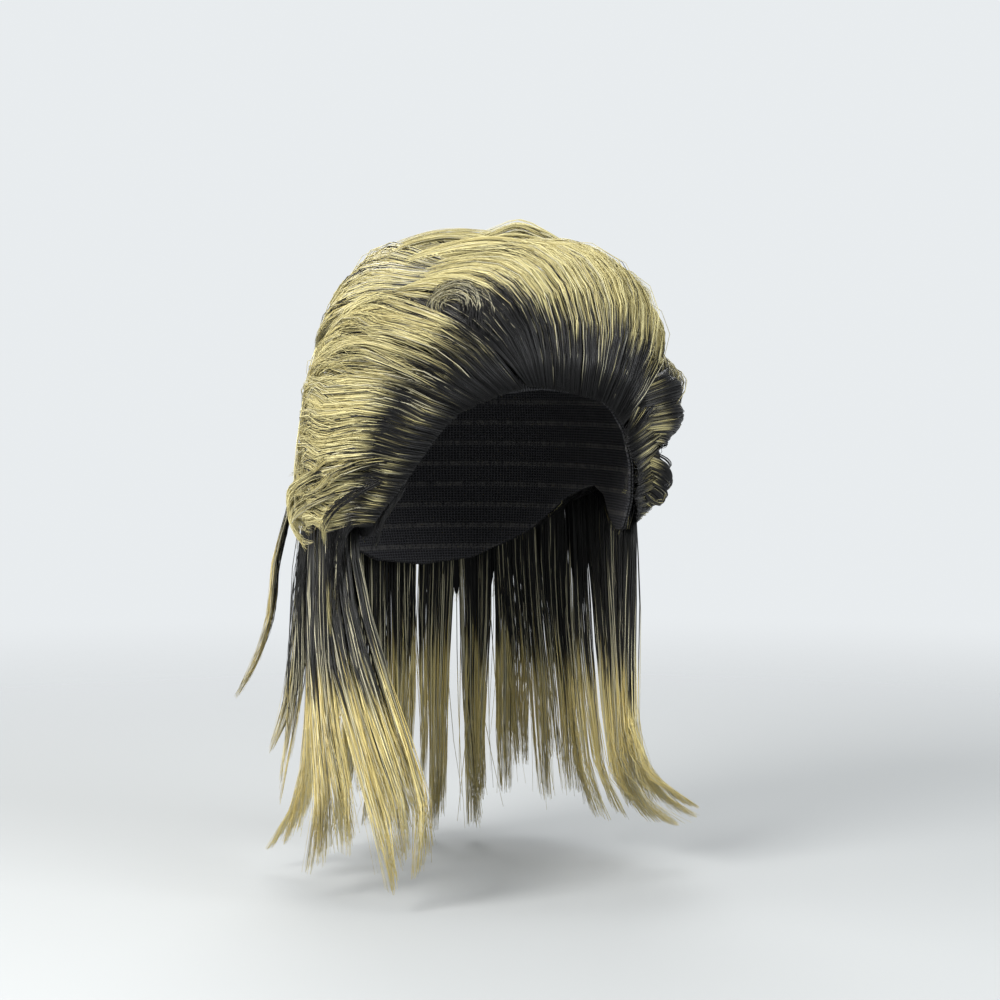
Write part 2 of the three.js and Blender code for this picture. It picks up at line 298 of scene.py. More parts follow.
def lockRings(node):
    # rings of eight from root to tip; the first two points after the start are the outer side
    points, faces = solidPoints(node)
    apex = {}
    spokes = np.zeros(len(points), int)
    for a, b, c in faces:
        apex[a, b], apex[b, c], apex[c, a] = c, a, b
        spokes[[a, b, c]] += 1
    poles = np.flatnonzero(spokes == 8)
    nearCap = [np.linalg.norm(capPoints - points[p], axis=1).min() for p in poles]
    root = poles[int(np.argmin(nearCap))]
    start = next(b for a, b in apex if a == root)
    ring = [start]
    while apex[root, ring[-1]] != start:
        ring.append(apex[root, ring[-1]])
    ring.reverse()
    rings = []
    while len(set(ring)) == 8:
        rings.append(points[ring])
        ring = [apex[ring[k], ring[(k + 1) % 8]] for k in range(8)]
    rings = np.array(rings)
    middle = rings[len(rings) * 2 // 5]
    out = middle.mean(0) - headMiddle
    if out[2] < 0:
        out[2] = 0
    turned = [np.roll(middle, -k, 0) for k in range(8)]
    score = [(ring[[1, 2]].sum(0) - ring[[5, 6]].sum(0)) @ out for ring in turned]
    return np.roll(rings, -int(np.argmax(score)), 1)


def lockForm(node):
    # middle line, half width, half thickness and the bow across, each section
    rings = lockRings(node)
    wide, narrow = ringShare
    inner = rings[:, [1, 2, 5, 6]].mean(1)
    outer = rings[:, [0, 7, 3, 4]].mean(1)
    bow = (outer - inner) / (wide ** 2 - narrow ** 2)
    middle = inner - bow * narrow ** 2
    half = (rings[:, [0, 7]].sum(1) - rings[:, [3, 4]].sum(1)) / 4 / wide
    thick = (rings[:, [1, 2]].sum(1) - rings[:, [5, 6]].sum(1)) / 4 / wide
    return middle, half, thick, bow


def extendAlong(table):
    # two more sections at each end: straight at the root, on the same curve at the tip
    table = list(np.moveaxis(table, -2, 0))
    for _ in range(2):
        table.insert(0, 2 * table[0] - table[1])
        table.append(3 * table[-1] - 3 * table[-2] + table[-3])
    return np.moveaxis(np.array(table), 0, -2)


def extendEnds(table):
    # one more row at each end, straight on
    return np.concatenate([2 * table[:1] - table[1:2], table, 2 * table[-1:] - table[-2:-1]])


def readSheet(name, count):
    # columns across: a lock's edge, its middle, its other edge and so on, half a lock apart
    forms = [lockForm(f"{name}_{k + 1}") for k in range(count)]
    middles, halves, thicks, bows = (np.array([form[k] for form in forms]) for k in range(4))
    if count > 1 and ((middles[1] - middles[0]) * halves[0]).sum() < 0:
        halves = -halves
    before, after = middles - halves + bows, middles + halves + bows
    edges = np.concatenate([before[:1], (before[1:] + after[:-1]) / 2, after[-1:]])
    edgeThick = edgeShare * np.concatenate([thicks[:1], (thicks[1:] + thicks[:-1]) / 2, thicks[-1:]])
    columns = np.empty((2 * count + 1, *middles.shape[1:2], 6))
    columns[0::2] = np.concatenate([edges, edgeThick], axis=-1)
    columns[1::2] = np.concatenate([middles, thicks], axis=-1)
    return {"name": name, "count": count, "sections": middles.shape[1],
            "grid": extendAlong(extendEnds(extendEnds(columns))),
            "forms": [[extendAlong(part) for part in form] for form in forms]}


def splineShares(x):
    return 0.5 * np.array([-x ** 3 + 2 * x ** 2 - x, 3 * x ** 3 - 5 * x ** 2 + 2,
                           -3 * x ** 3 + 4 * x ** 2 + x, x ** 3 - x ** 2])


def onLine(table, y):
    # smooth between the rows of a table that has one more at each end
    j = np.clip(np.floor(y).astype(int), 0, len(table) - 4)
    shares = splineShares(y - j)
    return sum(shares[b][..., None] * table[j + b] for b in range(4))


def onGrid(grid, x, y):
    i = np.clip(np.floor(x).astype(int), 0, grid.shape[0] - 4)
    j = np.clip(np.floor(y).astype(int), 0, grid.shape[1] - 4)
    sharesX, sharesY = splineShares(x - i), splineShares(y - j)
    return sum((sharesX[a] * sharesY[b])[..., None] * grid[i + a, j + b] for a in range(4) for b in range(4))


def onSheet(sheet, across, along):
    # the middle of the sheet and its half thickness; across counts locks, 0 is the first lock's middle
    total = onGrid(sheet["grid"], 2 * across + 2, along * (sheet["sections"] - 1) + 1)
    return total[..., :3], total[..., 3:]


def unit(v):
    return v / np.maximum(np.linalg.norm(v, axis=-1, keepdims=True), 1e-9)


families = {"wing_left": 4, "quiff": 9, "sweep_right": 8, "crown": 9, "back": 8, "nape": 18, "stray": 1}
sheets = {name: readSheet(name, count) for name, count in families.items()}
print("locks read:", sum(families.values()))


# strands: how each layer is combed
# wide: thickness against the fibre's; spread: how broad the strands lie against the lock
# clumps and twigs: bundles in a lock, and thinner ones; cross and gather: how clumps lean and draw together
# ridge, round, lobe, drop, inside: how the strands lie lower across a clump and a lobe, and deeper
# reach: how far along the lock the clumps end; wave: turns, depth, sway, start and lean across the layer
# dyeAt: the lengths, or the heights below the crown, where the dark ends from the first lock to the last,
# how much they vary, and over what length
# painted highlight: where light strands cross the dark part, standing in for sheen of the light on dark hair,
# over what length and how strong
# light and dark: shares of pale and of dark strands
plainLayer = {
    "segments": 8, "spread": 1.14, "clumps": 4, "gatherLate": 1.7, "ridge": 0.4, "round": 0.3, "lobe": 1,
    "drop": 0.6, "inside": 0.0, "ragged": 0.09, "shorten": 0.0, "tuck": 0.0, "tipTurn": 0.0, "frizz": 0.5,
    "loose": 0.05, "byHeight": False, "paintedShine": ([30], 9, 0.0), "light": 0.08, "dark": 0.05,
    "coreSunk": 0.85, "coreEnd": 0.8,
}
layers = {
    "wing_left": {
        "strands": 300, "segments": 10, "wide": 1.05, "twigs": 34, "cross": 0.12, "gather": 0.25,
        "ridge": 0.25, "round": 0.9, "lobe": 2, "inside": 0.1, "reach": (0.82, 1.0), "ragged": 0.1,
        "wave": (0.8, 0.06, 0.04, 0.3, 0.1), "tuck": 0.9, "frizz": 0.35, "loose": 0.02,
        "dyeAt": ([66], 8, 30), "paintedShine": ([17], 8, 1.9), "coreSunk": 0.7, "coreEnd": 0.75},
    "quiff": {
        "strands": 320, "wide": 1.12, "twigs": 52, "cross": 0.12, "gather": 0.25, "ridge": 0.3, "round": 0.15,
        "reach": (0.94, 1.05), "ragged": 0.05, "wave": (0.8, 0.08, 0.05, 0.2, 0.08), "tuck": 0.6,
        "frizz": 0.3, "loose": 0.04, "dyeAt": ([42], 9, 24), "coreEnd": 0.85},
    "sweep_right": {
        "strands": 260, "segments": 11, "wide": 1.15, "clumps": 5, "twigs": 60, "cross": 0.35, "gather": 0.2,
        "ridge": 0.25, "reach": (0.90, 1.10), "shorten": 0.18, "wave": (2.3, 0.75, 0.32, 0.33, 0.02),
        "tuck": 1.1, "frizz": 0.35, "loose": 0.06, "dyeAt": ([48, 43, 42, 38, 33, 27, 22, 20], 2.6, 16),
        "paintedShine": ([30, 28, 22, 16, 12, 10, 9, 8], 5, 1.5), "light": 0.05, "dark": 0.12},
    "crown": {
        "strands": 200, "segments": 9, "wide": 1.4, "spread": 1.3, "clumps": 5, "twigs": 36, "cross": 0.4,
        "gather": 0.3, "reach": (0.88, 1.16), "wave": (1.7, 0.30, 0.15, 0.4, 0.12), "tuck": 0.9,
        "loose": 0.06, "dyeAt": ([18], 8, 30), "light": 0.2, "dark": 0.2},
    "back": {
        "strands": 180, "wide": 1.5, "spread": 1.4, "twigs": 22, "cross": 0.3, "gather": 0.55,
        "gatherLate": 2.4, "drop": 0.7, "inside": 0.1, "reach": (0.8, 1.12), "ragged": 0.08,
        "wave": (1.3, 0.3, 0.12, 0.1, 0.1), "tuck": 0.6, "dyeAt": ([30], 9, 40), "light": 0.15,
        "dark": 0.08, "coreSunk": 0.7, "coreEnd": 0.75},
    "nape": {
        "strands": 240, "segments": 6, "wide": 1.5, "spread": 1.45, "clumps": 3, "twigs": 26, "cross": 0.24,
        "gather": 0.48, "gatherLate": 3.0, "round": 0.2, "drop": 0.9, "inside": 0.5, "reach": (0.80, 1.04),
        "ragged": 0.07, "wave": (1.0, 0.14, 0.12, 0.0, 0.21), "tipTurn": 0.9, "dyeAt": ([218], 9, 40),
        "byHeight": True, "light": 0.26, "dark": 0.04, "coreSunk": 0.0, "coreEnd": 0.34},
    "stray": {
        "strands": 60, "wide": 1.0, "clumps": 2, "twigs": 6, "cross": 0.3, "gather": 0.7,
        "ridge": 0.5, "round": 0.0, "drop": 0.9, "inside": 0.5, "reach": (0.95, 1.06), "ragged": 0.06,
        "wave": (1.0, 0.2, 0.1, 0.0, 0.0), "frizz": 0.6, "dyeAt": ([170], 14, 40),
        "byHeight": True, "light": 0.4, "dark": 0.0, "coreSunk": 0.0, "coreEnd": 0.4},
}
# the same in every layer: locks by number over which the sweep shortens and the lengths turn at the tip,
# how much later in mm dark strands turn blond, and how much sooner pale ones do
comb = {"clumpTop": (0.82, 1.08), "twigTop": 0.08, "waveVary": 0.35, "shorterLocks": (4, 6),
        "turnedLocks": (9, 15), "toTwig": 0.28, "looseAside": 0.45, "looseLift": (0.15, 0.6),
        "lowest": -0.9, "darkBy": 60, "paleRise": (20, 90), "paleShare": (0.1, 0.6)}
# in fibre, the painted highlight's dye: base, gain and the most it reaches
fibre = {"width": 0.37 * mm, "vary": 0.35, "taper": (1.05, 0.75), "rootStart": -0.05, "rootVary": 0.015,
         "dyeScale": 40.0, "paintedShineDye": (0.40, 0.22, 0.66), "toneWidth": 0.009, "ashTone": 0.9}
# the cores turn blond a few mm later than their locks, part of their painted shade
core = {"rows": 16, "around": 10, "start": 0.05, "wide": 0.7, "thick": 0.15, "taper": 0.9,
        "blondLater": 4, "map": (0.02, 0.96)}

# curls that stand out of the layers; knots: x, y, z, half width and half thickness in mm
curlColumns = ("joins", "strands", "segments", "dyeAt", "frizz", "light", "knots")
curlRows = [
    ("crown_4", 170, 12, 9, 0.6, 0.15, [    # tuft on the crown
      (60, -13, 9, 6, 3), (50, -9, 16, 7, 4), (38, -4, 22.5, 7, 5), (27, 2, 27.5, 7, 5),
      (17, 8, 24.5, 7, 4), (5, 14, 20, 8, 4), (-10, 22, 19, 8, 3)]),
    ("crown_4", 90, 9, 14, 0.6, 0.05, [    # under the tuft
      (56, -14, 9, 6, 2), (45, -10, 15, 8, 3), (33, -5, 19, 9, 4), (21, 1, 21, 9, 4), (8, 7, 19, 8, 3),
      (-4, 12, 17, 6, 2)]),
    ("crown_3", 110, 11, 6, 0.6, 0.15, [    # smaller tuft behind it
      (69, -4, 7, 7, 4), (58, 5, 15, 8, 4), (47, 11, 20, 8, 4), (36, 15, 21, 7, 3), (22, 20, 19, 6, 3)]),
    ("crown_5", 150, 13, -4, 0.6, 0.15, [    # over the crown
      (56, 4, 12, 9, 4), (33, 19, 17, 13, 5), (12, 30, 22, 14, 5), (-10, 41, 22, 13, 4),
      (-33, 52, 13, 10, 3), (-51, 61, -2, 5, 2)]),
    ("crown_6", 150, 13, 2, 0.6, 0.15, [    # behind the front roll
      (46, -13, 13, 9, 4), (26, -2, 14, 12, 5), (9, 9, 18, 13, 5), (-11, 21, 20, 13, 4),
      (-34, 29, 14, 10, 3), (-54, 32, 2, 5, 2)]),
    ("sweep_right_3", 80, 12, 20, 0.6, 0.05, [    # bright wave
      (-40, -90, -61, 8, 1.5), (-60, -88, -51, 9, 2), (-77, -80, -43, 9, 2.5), (-89, -68, -39, 8, 2.5),
      (-97, -53, -42, 8, 2), (-101, -36, -49, 6, 1.5)]),
    ("sweep_right_6", 70, 12, 14, 0.7, 0.05, [    # bright lock over the ear
      (-73, -72, -91, 7, 1.5), (-89, -62, -93, 9, 2), (-99, -50, -98, 9, 2), (-103, -36, -106, 8, 2),
      (-104, -20, -112, 6, 1.5)]),
    ("sweep_right_8", 45, 11, 50, 0.7, 0.05, [    # lock across the ear
      (-66, -67, -103, 5, 1.5), (-81, -60, -111, 5, 1.5), (-92, -44, -121, 4, 1.5),
      (-97, -34, -131, 3, 1.2), (-96, -29, -144, 2, 1)]),
    ("sweep_right_7", 100, 14, 10, 0.8, 0.05, [    # soft roll behind the ear
      (-93, -50, -106, 7, 2), (-102, -30, -111, 9, 2.5), (-101, 8, -120, 10, 3), (-98, 20, -130, 9, 3),
      (-94, 14, -140, 7, 2.5), (-92, -2, -141, 5, 1.5)]),
    ("wing_left_1", 40, 11, 30, 0.3, 0.05, [    # thin hook under the curls
      (72, -52, -103, 2.5, 1.2), (77, -51, -114, 2, 1.2), (82, -53, -121, 1.6, 1.2),
      (88, -54, -122, 1.4, 1), (90, -53, -117, 1, 0.8)]),
    ("sweep_right_8", 80, 8, 90, 0.4, 0.05, [    # in front of the ear
      (-67, -66, -104, 4, 1.2), (-69, -59, -117, 4, 1.2), (-72, -50, -129, 3, 1.2),
      (-74, -44, -145, 1.5, 0.8)]),
    ("sweep_right_8", 90, 8, 60, 0.8, 0.05, [    # hanging over the ear
      (-82, -48, -116, 7, 1.5), (-89, -36, -128, 8, 2), (-90, -26, -145, 8, 2), (-89, -20, -168, 6, 2),
      (-88, -17, -195, 3, 1)]),
    ("back_1", 110, 9, -20, 0.7, 0.05, [    # behind the left ear
      (70, 30, -30, 8, 2), (80, 46, -45, 10, 3), (85, 57, -68, 11, 3), (87, 62, -92, 10, 3),
      (86, 63, -116, 8, 2.5), (84, 62, -140, 4, 1.5)]),
    ("back_1", 110, 9, -20, 0.7, 0.05, [    # over the ends of the left side
      (78, 18, -36, 7, 2), (90, 34, -48, 9, 3), (96, 44, -70, 10, 3), (96, 48, -94, 9, 3),
      (92, 48, -118, 6, 2), (88, 46, -138, 3, 1)]),
    ("back_8", 110, 9, -20, 0.7, 0.05, [    # behind the right ear
      (-66, 34, -18, 8, 2), (-74, 46, -36, 10, 3), (-78, 55, -60, 11, 3), (-80, 60, -86, 10, 3),
      (-82, 62, -112, 8, 2.5), (-82, 62, -138, 4, 1.5)]),
    ("crown_5", 110, 10, -20, 0.7, 0.05, [    # middle of the crown, to the right
      (4, 34, 22, 9, 2), (-2, 60, 18, 11, 3), (-8, 84, 6, 11, 3), (-12, 101, -16, 10, 3),
      (-12, 111, -44, 10, 3), (-16, 114, -74, 9, 3), (-15, 118, -104, 5, 2)]),
    ("crown_4", 90, 9, -20, 0.7, 0.05, [    # middle of the crown, to the left
      (12, 56, 18, 7, 2), (9, 82, 8, 9, 3), (6, 102, -16, 10, 3), (7, 114, -50, 10, 3), (2, 118, -82, 8, 3),
      (4, 120, -108, 4, 2)]),
    ("back_4", 110, 9, 6, 0.7, 0.05, [    # middle of the back
      (4, 100, -40, 8, 2), (2, 111, -72, 10, 3), (-2, 118, -102, 11, 3), (1, 121, -134, 9, 3),
      (-4, 120, -160, 6, 2), (-2, 116, -184, 3, 1)]),
    ("back_3", 70, 8, -20, 0.7, 0.05, [    # back of the crown, left
      (34, 62, 12, 7, 2), (40, 82, 2, 9, 3), (44, 96, -16, 10, 3), (46, 104, -44, 10, 3),
      (46, 106, -76, 7, 2)]),
    ("back_6", 70, 8, -20, 0.7, 0.05, [    # back of the crown, right
      (-24, 66, 12, 7, 2), (-28, 86, 2, 9, 3), (-32, 100, -18, 10, 3), (-34, 108, -46, 10, 3),
      (-36, 110, -78, 7, 2)]),
    ("quiff_4", 90, 9, 4, 0.5, 0.05, [    # on top of the front roll, left
      (54, -66, 4, 6, 1.5), (52, -50, 12, 8, 2), (47, -32, 17, 9, 3), (38, -12, 19, 9, 3),
      (24, 6, 20, 7, 2)]),
    ("quiff_6", 110, 9, 4, 0.5, 0.05, [    # on top of the front roll, right
      (16, -68, 9, 9, 1.5), (3, -52, 14, 12, 3), (-13, -36, 16, 12, 3), (-31, -20, 13, 9, 2),
      (-46, -4, 7, 5, 1.5)]),
    ("sweep_right_1", 100, 10, 40, 0.5, 0.2, [    # beside the front roll
      (-46, -82, -32, 6, 1.2), (-57, -70, -22, 8, 2), (-66, -52, -17, 9, 2.5), (-70, -30, -15, 9, 2.5),
      (-74, -8, -17, 8, 2), (-78, 18, -25, 5, 1.5)]),
    ("nape_14", 110, 8, 104, 0.5, 0.3, [    # outer length behind the right ear
      (-74, 62, -112, 9, 3), (-76, 66, -140, 10, 5), (-78, 68, -175, 10, 5), (-81, 69, -210, 9, 5),
      (-87, 70, -240, 6, 3), (-97, 72, -268, 2, 1)]),
    ("nape_15", 110, 8, 100, 0.5, 0.3, [    # outer length below the right ear
      (-82, 42, -116, 9, 3), (-85, 44, -145, 10, 5), (-87, 45, -185, 10, 5), (-89, 45, -220, 9, 5),
      (-93, 45, -252, 6, 3), (-100, 45, -294, 2, 1)]),
]
curls = [dict(zip(curlColumns, row)) for row in curlRows]
# the same in every curl; sunk: how deep and over what share the strands come up out of the layer
curlComb = {"starts": 0.3, "ends": (0.3, 0.05), "twist": (0.8, 0.5), "sunk": (4 * mm, 0.25),
            "dyeVary": 8, "paleShare": (0.3, 0.8), "wide": 1.1}

# rolled curls: strands between rows of knots, each x, y, z in mm from the hairline round to the end
# each roll's painted highlight: place and length in mm along the strand, and strength
rolls = [
    # upper curl
    {"joins": "wing_left_3", "strands": 380, "segments": 13, "twigs": 40, "deep": 4.0, "lobes": (2, 3.5),
     "dyeAt": 66, "paintedShine": (12, 9, 2.2), "frizz": 0.2, "rows": [
      [(58, -84, -60), (74, -80, -54), (86, -70, -51), (92, -56, -52), (88, -44, -55), (80, -39, -59)],
      [(61, -82, -68), (80, -78, -63), (94, -66, -61), (100, -51, -62), (95, -36, -65), (85, -31, -68)],
      [(64, -79, -77), (83, -76, -74), (96, -64, -73), (102, -48, -75), (97, -33, -77), (86, -28, -79)],
      [(66, -74, -87), (81, -71, -87), (91, -62, -89), (95, -50, -91), (90, -39, -92), (81, -35, -91)]]},
    # lower curl
    {"joins": "wing_left_2", "strands": 270, "segments": 13, "twigs": 30, "deep": 3.5, "lobes": (2, 2.5),
     "dyeAt": 58, "paintedShine": (12, 8, 2.2), "frizz": 0.2, "rows": [
      [(65, -66, -94), (79, -63, -96), (91, -56, -100), (98, -47, -105), (96, -38, -110), (89, -34, -112)],
      [(66, -58, -104), (79, -57, -107), (91, -52, -112), (97, -46, -117), (94, -39, -121), (86, -37, -122)],
      [(68, -50, -114), (77, -51, -117), (84, -50, -121), (88, -47, -124), (85, -43, -127), (79, -42, -126)]
      ]},
    # from the front roll to the left side
    {"joins": "quiff_1", "strands": 170, "segments": 10, "twigs": 24, "deep": 5.0, "lobes": (1, 0.0),
     "dyeAt": 52, "paintedShine": (30, 9, 0.3), "frizz": 0.5,
     "between": (("quiff", -0.4), ("wing_left", 3.4))},
]
rollComb = {"ends": 0.08, "dyeVary": (9, 4), "light": 0.12, "paleShare": (0.4, 0.8)}
seam = {"knots": 7, "end": 0.98, "sunk": 0.3, "raised": 0.7}

# short hair on the cap under the layers, from the crown down to the edge, dyed dark all along as painted
# shade in the holes between the locks
under = {"family": "back", "seed": 77, "strands": 620, "segments": 6, "around": (70, 290),
         "from": -3, "to": -122, "dome": 100, "lift": (1.2, 4.0), "sway": 9.0, "startBy": 0.35, "far": 1.3,
         "dyeAt": 150, "dyeVary": 12, "light": 0.1, "frizz": 0.5, "wide": 1.2}

# arcs on the end of the front roll: up on the right, round over the top and down on the left
# across, darkWide and darker: the place in the layer where its strands stay dark longer
# past and palePast: how far in mm past the dark an arc is; lighter and darkStart: how that changes along it
whorl = {"joins": "quiff_9", "family": "quiff", "across": 8.2, "darkWide": 1.3, "darker": 34,
         "strands": 160, "segments": 11, "middle": (-44, -80, -18), "outward": (-0.45, -0.68, 0.58),
         "radii": (4, 19), "legs": (2, 20), "bendAt": 0.35, "turns": (0.28, 0.62), "tighten": 0.3,
         "wander": 1.4, "stretch": (0.7, 1.3), "lift": (0.0, 2.4), "bowl": 45.0, "frizz": 0.4,
         "light": 0.25, "sunk": (3, 0.2), "past": (-20, 14), "palePast": 25, "lighter": (30, 0.3),
         "darkStart": (70, 0.45), "wide": 0.7}


def dyePlace(distance, boundary, soft=fibre["dyeScale"]):
    # 0.5 at the boundary, never quite 0 or 1
    return 0.5 + 0.48 * np.tanh((distance - boundary) / soft)


def acrossLocks(sheet, values, across):
    return np.interp(across, np.linspace(0, sheet["count"] - 1, len(values)), values)


def withPaintedShine(dye, distance, place, length, strength, twig, random):
    # painted highlight: dark strands turn lighter over a short length, some twigs more than others, standing
    # in for sheen on dark hair
    if strength == 0:
        return dye
    count, twigs = len(dye), twig.max() + 1
    place = place * (1 + random.normal(0, 0.12, twigs)[twig] + random.normal(0, 0.1, count))
    strong = strength * random.random(twigs)[twig] ** 1.4 * random.uniform(0.2, 1, count)
    base, gain, most = fibre["paintedShineDye"]
    bright = base + gain * strong[:, None] * np.exp(-((distance - place[:, None]) / length) ** 2)
    return np.maximum(dye, np.minimum(bright, most))


def stepsAlong(settings):
    return np.linspace(0, 1, settings["segments"] + 1)[None, :]


def fadeOut(u, size, share, power):
    return size * np.clip(1 - u / share, 0, 1) ** power


def travelled(line):
    steps = np.linalg.norm(np.diff(line, axis=1), axis=2).cumsum(1) / mm
    return np.concatenate([np.zeros((len(line), 1)), steps], axis=1)


def roughen(line, out, u, size, random):
    aside = unit(np.cross(unit(np.gradient(line, axis=1)), out))
    for way, share in ((aside, 1.0), (out, 0.6)):
        for waves in (1.3, 2.7):
            turn = random.uniform(0, 2 * math.pi, len(line))[:, None]
            loud = random.normal(0, size * mm * share / waves, len(line))[:, None]
            line = line + way * (loud * (0.25 + u) * np.sin(2 * math.pi * waves * u + turn))[..., None]
    return line


def strandTones(count, pale, random):
    # pale strands have the tones above the ash mark
    ashy = random.uniform(fibre["ashTone"] + 0.02, 0.98, count)
    plain = random.uniform(0.02, fibre["ashTone"] - 0.03, count)
    return np.where(pale, ashy, plain)


def outFromHead(line):
    # the ways aside and outward, seen from the head's middle line
    ahead = unit(np.gradient(line, axis=1))
    pivot = np.minimum(line[..., 2:], headMiddle[2]) * np.array([0, 0, 1])
    aside = unit(np.cross(ahead, unit(line - pivot)))
    return aside, np.cross(aside, ahead)


def nearest(places, marks):
    return np.abs(places[:, None] - marks).argmin(1)


def combLock(sheet, index, layer, random):
    # the strands' middle lines, their outward ways, dye places, tones and thickness
    count, clumps, twigs = layer["strands"], layer["clumps"], layer["twigs"]
    dyeLengths, dyeVary, dyeSoft = layer["dyeAt"]
    u = stepsAlong(layer)
    clumpSide = index - 0.5 + (np.arange(clumps) + random.uniform(0.2, 0.8, clumps)) / clumps
    clumpTop = random.uniform(*comb["clumpTop"], clumps)
    clumpReach = random.uniform(*layer["reach"], clumps)
    clumpReach = clumpReach - layer["shorten"] * np.interp(index, comb["shorterLocks"], (0, 1))
    clumpCross = random.normal(0, layer["cross"], clumps)
    twigSide = index + layer["spread"] * ((np.arange(twigs) + random.uniform(0.1, 0.9, twigs)) / twigs - 0.5)
    twigTop = random.normal(0, comb["twigTop"], twigs)
    twigDye = random.normal(0, dyeVary, twigs)
    side = index + layer["spread"] * ((np.arange(count) + random.random(count)) / count - 0.5)
    twig = nearest(side + random.normal(0, 0.15 / twigs, count), twigSide)
    mine = nearest(twigSide, clumpSide)[twig]
    offset = np.clip((side - clumpSide[mine]) * 2 * clumps, -1.25, 1.25)
    depth = clumpTop[mine] * (1 - layer["ridge"] * offset ** 2) + twigTop[twig]
    fold = 2 * ((side + 0.5) % layer["lobe"]) / layer["lobe"] - 1
    depth = depth - layer["round"] * fold ** 4
    depth = depth - layer["drop"] * random.random(count) ** 1.6
    depth = np.where(random.random(count) < layer["inside"], -depth, depth)
    start = fibre["rootStart"] + np.abs(random.normal(0, fibre["rootVary"], count))
    end = clumpReach[mine] - np.abs(random.normal(0, layer["ragged"], count))
    along = start[:, None] + (end - start)[:, None] * u
    toTwig = comb["toTwig"] * u ** 0.7 * (twigSide[twig] - side)[:, None]
    pull = layer["gather"] * random.uniform(0.75, 1.15, count)[:, None] * u ** layer["gatherLate"]
    across = side[:, None] + toTwig
    across = across + (clumpSide[mine][:, None] - across) * pull
    across = across + clumpCross[mine][:, None] * u ** 1.5
    raised = 0.4 * np.abs(clumpCross)[mine][:, None] * u
    deep = depth[:, None] * (1 - 0.7 * pull) + raised - layer["tuck"] * u ** 4
    turns, waveDeep, waveSide, waveStart, waveLean = layer["wave"]
    phase = 2 * math.pi * (turns * u + waveStart + waveLean * across)
    phase = phase + random.normal(0, comb["waveVary"], clumps)[mine][:, None]
    across = across + waveSide * np.sin(phase) * u ** 0.6 * (1 - u ** 2)
    deep = deep + waveDeep * np.cos(phase) * u ** 0.6 * (1 - 0.5 * u ** 2)
    across = across + layer["tipTurn"] * u ** 3 * np.interp(index, comb["turnedLocks"], (0, 1))
    loose = random.random(count) < layer["loose"]
    across = across + np.where(loose, random.normal(0, comb["looseAside"], count), 0)[:, None] * u ** 1.4
    lift = np.where(loose, random.uniform(*comb["looseLift"], count), 0)
    deep = deep + lift[:, None] * np.sin(math.pi * u ** 0.8)
    middle, thick = onSheet(sheet, across, along)
    out = unit(thick)
    deep = np.maximum(deep, comb["lowest"])    # never below the lock
    line = roughen(middle + thick * deep[..., None], out, u, layer["frizz"], random)
    dyeAt = acrossLocks(sheet, dyeLengths, side) + twigDye[twig] + random.normal(0, 0.6 * dyeVary, count)
    if sheet["name"] == whorl["family"]:
        dyeAt = dyeAt + whorl["darker"] * np.exp(-((side - whorl["across"]) / whorl["darkWide"]) ** 2)
    dyeAt = dyeAt + comb["darkBy"] * (random.random(count) < layer["dark"])
    pale = random.random(count) < layer["light"]
    if layer["byHeight"]:
        distance = -line[..., 2] / mm
        dyeAt = np.where(pale, dyeAt - random.uniform(*comb["paleRise"], count), dyeAt)
    else:
        distance = travelled(line)
        dyeAt = np.where(pale, dyeAt * random.uniform(*comb["paleShare"], count), dyeAt)
    dye = dyePlace(distance, dyeAt[:, None], dyeSoft)
    places, length, strength = layer["paintedShine"]
    dye = withPaintedShine(dye, distance, acrossLocks(sheet, places, side), length, strength, twig, random)
    return line, out, dye, strandTones(count, pale, random), layer["wide"]


def combCurl(curl, random):
    knots = extendEnds(np.array(curl["knots"], float) * mm)
    count, spans = curl["strands"], len(knots) - 3
    u = stepsAlong(curl)
    twigs = max(5, count // 8)
    twig = random.integers(0, twigs, count)
    first = random.uniform(0, curlComb["starts"], count)[:, None]
    twigEnd, strandEnd = curlComb["ends"]
    last = (1 - twigEnd * random.random(twigs) ** 1.4)[twig][:, None]
    last = last - strandEnd * random.random(count)[:, None]
    place = spans * (first + (last - first) * u)
    spine = onLine(knots, place)
    line, wide, thick = spine[..., :3], spine[..., 3:4], spine[..., 4:]
    aside, out = outFromHead(line)
    angle = random.uniform(0, 2 * math.pi, twigs)[twig] + random.normal(0, 0.22, count)
    twist = random.normal(*curlComb["twist"], twigs)[twig]
    angle = angle[:, None, None] + twist[:, None, None] * u[..., None]
    far = (random.uniform(0.1, 1, twigs)[twig] ** 0.5 * random.uniform(0.8, 1.1, count))[:, None, None]
    line = line + far * (aside * wide * np.cos(angle) + out * thick * np.sin(angle))
    sunk = fadeOut(u, *curlComb["sunk"], 2)
    line = roughen(line - out * sunk[..., None], out, u, curl["frizz"], random)
    dyeAt = curl["dyeAt"] + random.normal(0, curlComb["dyeVary"], count)
    pale = random.random(count) < curl["light"]
    dyeAt = np.where(pale, dyeAt * random.uniform(*curlComb["paleShare"], count), dyeAt)
    dye = dyePlace(travelled(line), dyeAt[:, None])
    return line, out, dye, strandTones(count, pale, random), curlComb["wide"]


def edgeRows(edges):
    # rows of knots on the edges of two layers, and one sunk between them
    along = np.linspace(0, seam["end"], seam["knots"])
    found = [onSheet(sheets[family], across + 0 * along, along) for family, across in edges]
    (first, thickA), (second, thickB) = found
    between = (first + second) / 2 - seam["sunk"] * (thickA + thickB)
    return np.array([first + seam["raised"] * thickA, between, second + seam["raised"] * thickB])


